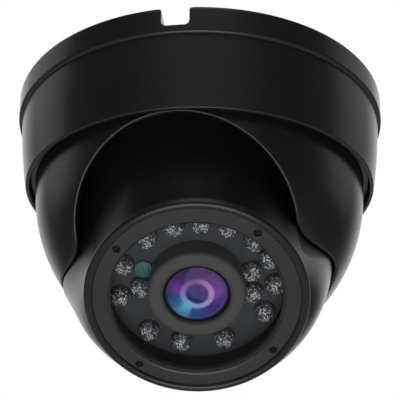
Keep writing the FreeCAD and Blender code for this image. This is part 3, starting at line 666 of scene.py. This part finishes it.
def opening_radius(angle, edge=OPENING):
    return float(np.interp(angle, *edge, period=360))


def behind_back(r, angle, depth):
    """Place along the lens axis where the ball's flat back cuts a line at radius r."""
    lean = radians(90 - TILT_MID)
    return (sin(lean) * r * cos(radians(angle)) - (REAR_H - depth)) / cos(lean)


def hood_section(angle):
    """Outer sphere, a rounded edge at the opening and the inner sphere."""
    edge = 0.55
    inner_r = BALL_R - SHELL_T
    opening = opening_radius(angle)
    low = acos(SPLIT_A / BALL_R)
    lip = asin((opening + edge) / BALL_R)
    outer = [(BALL_R * sin(low + (lip - low) * k / 40), BALL_R * cos(low + (lip - low) * k / 40))
             for k in range(41)]
    lip_r, lip_a = outer[-1]
    across = Vector((cos(lip), -sin(lip)))
    inward = Vector((-sin(lip), -cos(lip)))
    centre = Vector((lip_r, lip_a)) + inward * edge
    rounding = [tuple(centre + edge * (-across * sin(radians(a)) - inward * cos(radians(a))))
                for a in range(18, 91, 18)]
    under = asin((opening + 0.2) / inner_r)
    low_in = acos(SPLIT_A / inner_r)
    inner = []
    for k in range(13):
        turn = under + (low_in - under) * k / 12
        inner.append((inner_r * sin(turn), inner_r * cos(turn)))
    return [(r, max(a, behind_back(r, angle, 0))) for r, a in outer + rounding + inner]


def make_hood():
    hood = swept("hood_housing", hood_section, 720, AIM)
    place_piece(hood, "ball", housing_look("hood_paint"), "hood_plastic", "hood_shell")


def smooth_step(x):
    x = min(max(x, 0.0), 1.0)
    return x * x * (3 - 2 * x)


def snout_radius(a, angle):
    """Full on the chin, hollow inside the arch."""
    run = max(a - ROOT_A, 0)
    chin = ROOT_R - CHIN_TAPER * run - CHIN_ROLL * (run / (FACE_A - ROOT_A)) ** 6
    back = (FACE_A - a) / (FACE_A - HOLLOW_A)
    cheek = LIP_R - CHEEK_STEP + CHEEK_SPREAD * max(back, 0) ** CHEEK_CURVE
    from_top = min(angle, 360 - angle)
    share = smooth_step((from_top - CHEEK_END) / (CHIN_START - CHEEK_END))
    return share * chin + (1 - share) * cheek


def snout_point(a, angle):
    """The snout starts in the middle of the hood's opening, inside its edge, and ends on the lens axis."""
    radius = snout_radius(a, angle)
    left = min((FACE_A - a) / (FACE_A - ROOT_A), 1)
    x = HOOD_X * left ** 2 + radius * sin(radians(angle))
    y = radius * cos(radians(angle))
    limit = opening_radius(degrees(atan2(x, y)), SNOUT_LIMIT) / hypot(x, y)
    keep = min(limit, 1)
    return x * keep, y * keep, a


def snout_section(angle):
    """One cross-section of the snout: outside, lip, cup, cavity and flange."""
    low, lip_foot = HOLLOW_A, FACE_A - 0.25
    outer = [snout_point(low + (lip_foot - low) * k / 60, angle) for k in range(61)]
    lip_in = LIP_R - LIP_WALL
    lip = rounded([(LIP_R, FACE_A, 0), (LIP_R, FACE_A + 0.6, 0.28), (lip_in, FACE_A + 0.6, 0.28),
                   (lip_in, FACE_A - 0.5, 0)], 4)
    flange = [(FLANGE_R * sin(acos(a / FLANGE_R)), a) for a in (FLANGE_A, 5.0, 9.5, low - 0.01)]
    flange = [(r, max(a, behind_back(r, angle, ROOF_T + GAP))) for r, a in flange]
    cup = [(lip_in, BEZEL_FOOT_A), (CUP_R + 0.25, BEZEL_FOOT_A), (CUP_R, FACE_A - 2.25),
           (CUP_R, CUP_FLOOR), (BORE_R, CUP_FLOOR)]
    floor_back, rim_r = CUP_FLOOR - 2.0, 36.0
    cavity = [(BORE_R, floor_back), (22.2, floor_back), (23.8, 24.0), (26.2, 15.5), (27.4, 15.5),
              (27.4, 12.8), (35.5, 6.0), (rim_r, max(FLANGE_A, behind_back(rim_r, angle, ROOF_T + GAP)))]
    return outer + at_angle(lip + cup + cavity + flange, angle)


def make_snout():
    snout = looped("snout_housing", [snout_section(k / 2) for k in range(720)], AIM)
    place_piece(snout, "ball", housing_look("snout_paint"), "snout_plastic", "front_shell")


# ---- face -----------------------------------------------------------------------------------------------
def make_bezel():
    window_front, foot_r = GLASS_A + GLASS_T, CUP_R + 0.1
    corners = [(WINDOW_R, window_front, 0.05), (foot_r, window_front, 0), (foot_r, BEZEL_FOOT_A, 0.05),
               (BEZEL_R, BEZEL_FOOT_A, 0.1), (BEZEL_R, FACE_A, 0.35),
               (WINDOW_R + 0.15, FACE_A, 0.25), (WINDOW_R, FACE_A - 0.3, 0.1)]
    bezel = turned("bezel_ring", corners, place=AIM)
    hole_r, head_r, head_depth, above = 0.7, 0.91, 0.9, FACE_A + 1
    cutters = []
    for angle in BEZEL_SCREW_ANGLES:
        x, y = on_circle(BEZEL_SCREW_R, angle)
        cutters.append(prism(circle(hole_r, x, y, 32), FACE_A - 3, above, AIM))
        cutters.append(prism(circle(head_r, x, y, 40), FACE_A - head_depth, above, AIM))
    cut(bezel, *cutters)
    modified(bezel, "BEVEL", width=0.09 * MM, segments=2, limit_method="ANGLE", angle_limit=radians(60))
    bezel.data.shade_smooth()
    bezel.data.set_sharp_from_angle(angle=radians(50))
    even_normals(bezel)
    place_piece(bezel, "ball", bezel_look(), "bezel_plastic", "front_bezel")


def make_window():
    edge_r, front, near_axis = CUP_R - 0.1, GLASS_A + GLASS_T - 0.04, 0.02
    corners = [(near_axis, GLASS_A, 0), (edge_r, GLASS_A, 0.1), (edge_r, front, 0.1), (near_axis, front, 0)]
    outline = [(0, GLASS_A)] + rounded(corners, 3)[1:-1] + [(0, front)]
    window = domed("window_glass", outline, 192, AIM)
    place_piece(window, "ball", pane_look(), "window", "front_window")


def lamp_outline():
    """5 mm lamp: a foot flange, a round side and a dome."""
    low, shoulder = LED_BOARD_A + 0.02, LED_BOARD_A + LED_H - LED_R
    foot_r, side_r = LED_R + 0.02, LED_R - 0.05
    side = [(0, low), (foot_r, low), (foot_r, low + 0.9), (side_r, low + 1.0)]
    dome = [(side_r * cos(radians(a)), shoulder + LED_R * sin(radians(a))) for a in range(0, 90, 5)]
    return side + dome + [(0, shoulder + LED_R)]


def lamp_cup_outline():
    """Reflector cup on its post, drawn at the size that the dome magnifies it to."""
    low, rim = LED_BOARD_A + 0.4, LED_BOARD_A + LED_H - 1.3
    post_r, cup_r = 0.5, 1.75
    post = [(0, low), (post_r, low), (post_r, rim - 2.2)]
    cup = [(1.1, rim - 1.3), (cup_r, rim), (1.5, rim + 0.1), (0.9, rim - 0.5)]
    chip = [(post_r, rim - 0.2), (0, rim + 0.1)]
    return post + cup + chip


def make_lamps():
    glass, silver = lamp_look(), lamp_metal_look()
    rows = (("outer_ir_leds", "lamp_outer", OUTER_LEDS_R, OUTER_LED_ANGLES),
            ("inner_ir_leds", "lamp_inner", INNER_LEDS_R, INNER_LED_ANGLES))
    for node, slot, (half_width, half_height), angles in rows:
        for number, angle in enumerate(angles, 1):
            x, y = half_width * cos(radians(angle)), half_height * sin(radians(angle))
            turn = Matrix.Rotation(radians(angle * LAMP_TURN), 4, "Z")
            spot = AIM @ Matrix.Translation((x * MM, y * MM, 0)) @ turn
            name = f"{node[:5]}_lamp_{number:02d}"
            body = domed(name, lamp_outline(), 48, spot)
            place_piece(body, "ball", glass, slot, node)
            cup = domed(name + "_cup", lamp_cup_outline(), 24, spot)
            place_piece(cup, "ball", silver, slot)


def make_photocell():
    x, y = on_circle(PHOTOCELL_R, PHOTOCELL_ANGLE)
    low, high = MASK_A - 0.8, MASK_A + 1.0
    side_r = 2.1
    outline = [(0, low), (side_r - 0.1, low), (side_r, low + 0.1), (side_r, high - 0.3),
               (1.95, high - 0.1), (1.7, high), (0, high)]
    spot = AIM @ Matrix.Translation((x * MM, y * MM, 0))
    cell = domed("photocell_body", outline, 64, spot)
    place_piece(cell, "ball", photocell_look(), "photocell_face", "photocell")


def make_shroud():
    tip, foot = GLASS_A - 0.1, CUP_FLOOR - 1.0
    mouth_r, inner_r, mouth_depth = 8.1, 9.1, 3.5
    corners = [(mouth_r, tip, 0.2), (SHROUD_R, tip, 0.3), (SHROUD_R, foot, 0.1), (inner_r, foot, 0.1),
               (inner_r, tip - mouth_depth, 0), (mouth_r, tip - mouth_depth, 0.1)]
    shroud = turned("shroud_ring", corners, 192, AIM)
    look = rubber_look("shroud_rubber", (0.075, 0.075, 0.072), 0.62)
    place_piece(shroud, "ball", look, "shroud", "lens_shroud")


# ---- lens -----------------------------------------------------------------------------------------------
def make_barrel():
    """Each step is (radius, depth behind the tip, fillet): down the outside, then up the bore."""
    neck_r, thread_r = LENS_R - 1.0, 6.0
    outside = [(LENS_R, 0, 0.15), (LENS_R, 3.6, 0.2), (neck_r, 4.4, 0), (neck_r, 7.1, 0),
               (thread_r, 7.9, 0), (thread_r, 17.7, 0.2)]
    bore = [(3.6, 17.7, 0.2), (3.6, 16.1, 0), (4.4, 16.1, 0), (4.4, 11.1, 0.1), (5.2, 11.1, 0.1),
            (5.2, 4.7, 0.1), (7.15, 4.7, 0), (7.15, 0.6, 0), (7.5, 0, 0.1)]
    corners = [(r, LENS_TIP - depth, fillet) for r, depth, fillet in outside + bore]
    barrel = turned("barrel_body", corners, 192, AIM)
    look = metal_look("barrel_anodised", (0.02, 0.02, 0.022), 0.45, (1, 1, 30))
    place_piece(barrel, "ball", look, "barrel", "lens_barrel")


def make_front_element():
    """Front glass of the lens: a shallow cap that covers the barrel's end, on a stem inside the barrel."""
    stem_r, cap_r, crown, steps = 6.5, LENS_R - 0.1, 0.45, 24
    back, seat, front = LENS_TIP - 3.9, LENS_TIP + 0.05, GLASS_A - 0.12
    cap = [(cap_r * k / steps, front - crown * (k / steps) ** 2) for k in range(steps + 1)]
    outline = [(0, back), (stem_r, back), (stem_r, seat), (cap_r, seat)] + cap[::-1]
    element = domed("front_element", outline, 128, AIM)
    place_piece(element, "ball", coated_lens_look(), "lens_front", "front_lens")


# ---- CAD nodes that stay --------------------------------------------------------------------------------
def dress_cad_nodes():
    black_plastic = grained("moulded_black", (0.012, 0.012, 0.013), 0.5, grain_mm=0.6, depth_mm=0.012)
    steel = metal_look("black_steel", (0.05, 0.05, 0.052), 0.35)
    bright_steel = metal_look("plain_steel", (0.55, 0.55, 0.56), 0.3)
    brass = metal_look("turned_brass", (0.75, 0.55, 0.25), 0.28)
    aluminium = metal_look("plain_aluminium", (0.75, 0.75, 0.76), 0.35, (1, 12, 1))
    rubber = rubber_look("soft_rubber", (0.02, 0.02, 0.021), 0.75)
    board = board_look("board_green", (0.01, 0.06, 0.03))
    chip = grained("chip_epoxy", (0.02, 0.02, 0.021), 0.55, grain_mm=0.2, depth_mm=0.01)
    coated = Look("coated_glass", (0.35, 0.25, 0.75), 0.05, Transmission_Weight=0.6, IOR=1.6)
    coated.set(coated.shader, "Roughness", coated.ranged(coated.noise(3.0), 0.02, 0.07))
    nylon = grained("nylon", (0.72, 0.70, 0.62), 0.5, grain_mm=0.8, depth_mm=0.01)
    copper = metal_look("enamelled_copper", (0.65, 0.25, 0.10), 0.25, (1, 1, 20))
    silicone = grained("silicone_pad", (0.35, 0.40, 0.55), 0.6, grain_mm=0.7, depth_mm=0.02)
    acetal = grained("acetal", (0.02, 0.02, 0.021), 0.3, grain_mm=0.5, depth_mm=0.005)
    paper = grained("sachet_paper", (0.75, 0.75, 0.73), 0.8, grain_mm=1.2, depth_mm=0.08)
    looks = {
        "rear_shell": housing_look("rear_paint"), "led_mask": mask_look(), "base_gasket": foam_look(),
        "seat_pads": rubber, "shell_seal": rubber, "window_seal": rubber, "cable_gland": rubber,
        "gland_nut": black_plastic, "lens_holder": black_plastic, "ir_cut_housing": black_plastic,
        "ir_cut_slider": black_plastic, "friction_ring": acetal, "ring_lock_screw": steel,
        "bezel_screws": steel, "case_screws": steel, "lens_retainer": steel, "lens_lock_nut": steel,
        "ir_cut_rotor": bright_steel, "board_screws": bright_steel, "board_nuts": bright_steel,
        "board_spacers": brass, "heat_plate": aluminium, "capacitors": aluminium, "heat_pad": silicone,
        "led_board": board, "sensor_board": board, "power_board": board, "image_sensor": chip,
        "processor": chip, "transformer": chip, "board_connectors": nylon, "ir_cut_coil": copper,
        "desiccant_pack": paper, "middle_lens": coated, "rear_lens": coated,
        "day_filter": coated, "night_filter": coated,
    }
    for name, look in looks.items():
        paint(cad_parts[name], look)


# ---- light, floor and camera ----------------------------------------------------------------------------
def lamp(name, place, aim, size, watts):
    data = bpy.data.lights.new(name, "AREA")
    data.shape = "RECTANGLE"
    data.size, data.size_y = size
    data.energy = watts
    obj = bpy.data.objects.new(name, data)
    obj.location = place
    obj.rotation_euler = (Vector(aim) - Vector(place)).to_track_quat("-Z", "Y").to_euler()
    obj.visible_camera = False
    bpy.context.scene.collection.objects.link(obj)


# The studio: a white backdrop behind the object, a soft glow in front and a stronger one overhead, each as
# (direction, cosine where it starts, cosine where it is full, strength), and a faint glow from everywhere.
BACKDROP = ((0.0, 0.85, 0.53), 0.58, 1.0, 1.35)
FRONT_GLOW = ((0.0, -0.95, 0.31), 0.75, 1.0, 0.22)
TOP_GLOW = ((0.0, -0.48, 0.88), 0.90, 1.0, 0.9)
ROOM_GLOW = 0.07


def glow_patch(tree, direction, start, end, strength):
    """Strength of a soft round patch of light in one direction of the world."""
    place = tree.nodes.new("ShaderNodeTexCoord")
    along = tree.nodes.new("ShaderNodeVectorMath")
    along.operation = "DOT_PRODUCT"
    along.inputs[1].default_value = direction
    tree.links.new(place.outputs["Generated"], along.inputs[0])
    glow = tree.nodes.new("ShaderNodeMapRange")
    glow.interpolation_type = "SMOOTHSTEP"
    for key, value in (("From Min", start), ("From Max", end), ("To Min", 0.0), ("To Max", strength)):
        glow.inputs[key].default_value = value
    tree.links.new(along.outputs["Value"], glow.inputs["Value"])
    return glow.outputs["Result"]


def make_world():
    """White to the camera, and the sum of the studio's glows to everything else."""
    world = bpy.data.worlds.new("studio")
    bpy.context.scene.world = world
    world.use_nodes = True
    tree = world.node_tree
    link = tree.links.new
    room = tree.nodes.new("ShaderNodeValue")
    total = room.outputs[0]
    total.default_value = ROOM_GLOW
    for patch in (BACKDROP, FRONT_GLOW, TOP_GLOW):
        add = tree.nodes.new("ShaderNodeMath")
        add.operation = "ADD"
        link(glow_patch(tree, *patch), add.inputs[0])
        link(total, add.inputs[1])
        total = add.outputs[0]
    seen = tree.nodes.new("ShaderNodeMix")
    path = tree.nodes.new("ShaderNodeLightPath")
    link(path.outputs["Is Camera Ray"], seen.inputs["Factor"])
    link(total, seen.inputs["A"])
    seen.inputs["B"].default_value = 1.0
    link(seen.outputs["Result"], tree.nodes["Background"].inputs["Strength"])
    tree.nodes["Background"].inputs["Color"].default_value = (1, 1, 1, 1)


def make_studio():
    middle, half, floor_z = (0, 0, -0.04), 3, -0.9
    lamp("left_softbox", (-0.60, 0.15, 0.28), middle, (0.35, 0.5), 0.30)
    lamp("right_softbox", (0.60, 0.15, 0.28), middle, (0.35, 0.5), 0.22)
    lamp("low_softbox", (0.0, -0.45, -0.50), middle, (0.4, 0.3), 1.1)
    make_world()
    bpy.context.scene.view_settings.view_transform = "Standard"
    corners = [(x, y, floor_z) for x, y in ((-half, -half), (half, -half), (half, half), (-half, half))]
    floor = mesh_object("floor", corners, [(0, 1, 2, 3)])
    paint(floor, grained("floor_paper", (0.8, 0.8, 0.8), 0.8, grain_mm=2.0, depth_mm=0.05, lighter=1.05))


# Where the photo was taken from, as fitted to the outline of base, ring and ball.
CAMERA_PLACE = (0.137, -239.822, -145.844)
CAMERA_UP, CAMERA_ROLL, FOCAL_LENGTH = 26.72, 0.40, 95.08


def make_camera():
    """Below the object and in front of it, looking up at it."""
    data = bpy.data.cameras.new("camera")
    data.lens = FOCAL_LENGTH
    data.sensor_width = 36.0
    data.clip_start, data.clip_end = 0.01, 20
    obj = bpy.data.objects.new("camera", data)
    turn = Matrix.Rotation(radians(90 + CAMERA_UP), 4, "X") @ Matrix.Rotation(radians(CAMERA_ROLL), 4, "Z")
    obj.matrix_world = Matrix.Translation(Vector(CAMERA_PLACE) * MM) @ turn
    bpy.context.scene.collection.objects.link(obj)
    bpy.context.scene.camera = obj


make_base()
make_ring()
make_hood()
make_snout()
make_bezel()
make_window()
make_lamps()
make_photocell()
make_shroud()
make_barrel()
make_front_element()
dress_cad_nodes()
make_studio()
make_camera()
